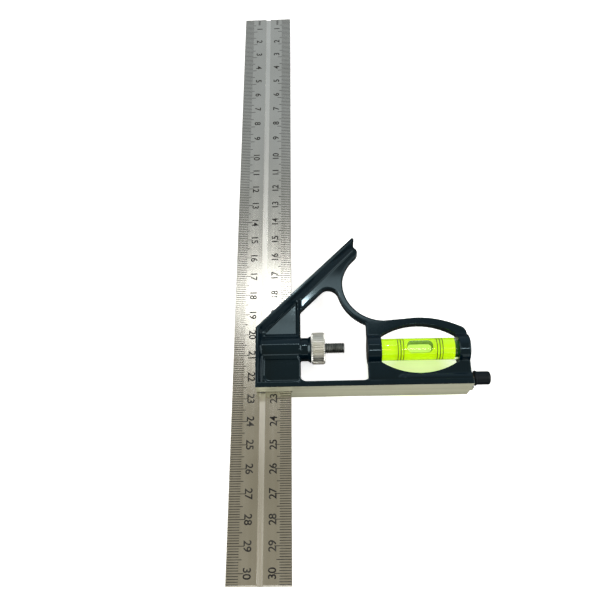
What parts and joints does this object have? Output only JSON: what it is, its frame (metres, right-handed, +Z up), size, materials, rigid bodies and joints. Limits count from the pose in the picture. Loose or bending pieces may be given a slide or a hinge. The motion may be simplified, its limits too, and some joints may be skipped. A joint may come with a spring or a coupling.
{
  "type": "combination square",
  "caption": "Combination square: a grooved steel rule slides through a cast head with a square sole, a mitre face, a clamp nut, a spirit vial and a stored scriber.",
  "frame": {"origin": "under the middle of the whole square's box, on the surface it lies on, with the rule set as stored", "axes": "+X along the sole, away from the rule; +Y along the rule, from the sole towards the mitre face; +Z up, out of the side with the rule's groove"},
  "size_m": [0.1132, 0.3048, 0.0167],
  "materials": {
    "satin_steel": "satin, brushed along its length",
    "head_paint": "glossy black enamel, bare on the ground working faces",
    "dark_steel": "dark zinc",
    "spring_steel": "drawn wire",
    "bright_nickel": "bright nickel plate",
    "clear_acrylic": "polished",
    "vial_liquid": "fluorescent liquid",
    "vial_cap": "tinted plug",
    "black_plastic": "moulded",
    "needle_steel": "hardened and polished",
    "brass": "turned"
  },
  "bodies": {
    "head": {"head": "head_paint", "clamp_spring": "spring_steel", "vial_tube": "clear_acrylic", "vial_liquid": "vial_liquid", "vial_cap_left": "vial_cap", "vial_cap_right": "vial_cap", "vial_plug": "black_plastic", "scriber_bush": "brass"},
    "rule": {"rule": "satin_steel"},
    "clamp_bolt": {"clamp_bolt": "dark_steel"},
    "nut": {"knurled_nut": "bright_nickel"},
    "scriber": {"scriber_needle": "needle_steel", "scriber_knob": "black_plastic"}
  },
  "joints": [
    {"name": "rule_slide", "type": "slide", "parent": "head", "child": "rule", "axis": [0, 1, 0], "range_m": [-0.18, 0.077]},
    {"name": "nut_turn", "type": "hinge", "parent": "head", "child": "nut", "pos_m": [-0.0186, -0.0545, 0.00835], "axis": [1, 0, 0], "range_deg": [0, 360]},
    {"name": "bolt_slide", "type": "slide", "parent": "head", "child": "clamp_bolt", "axis": [1, 0, 0], "range_m": [-0.00085, 0], "deforming": ["clamp_spring"]},
    {"name": "scriber_slide", "type": "slide", "parent": "head", "child": "scriber", "axis": [1, 0, 0], "range_m": [0, 0.038]}
  ],
  "couplings": [
    {"joint": "bolt_slide", "follows": "nut_turn", "m_per_rad": -0.00012732}
  ]
}
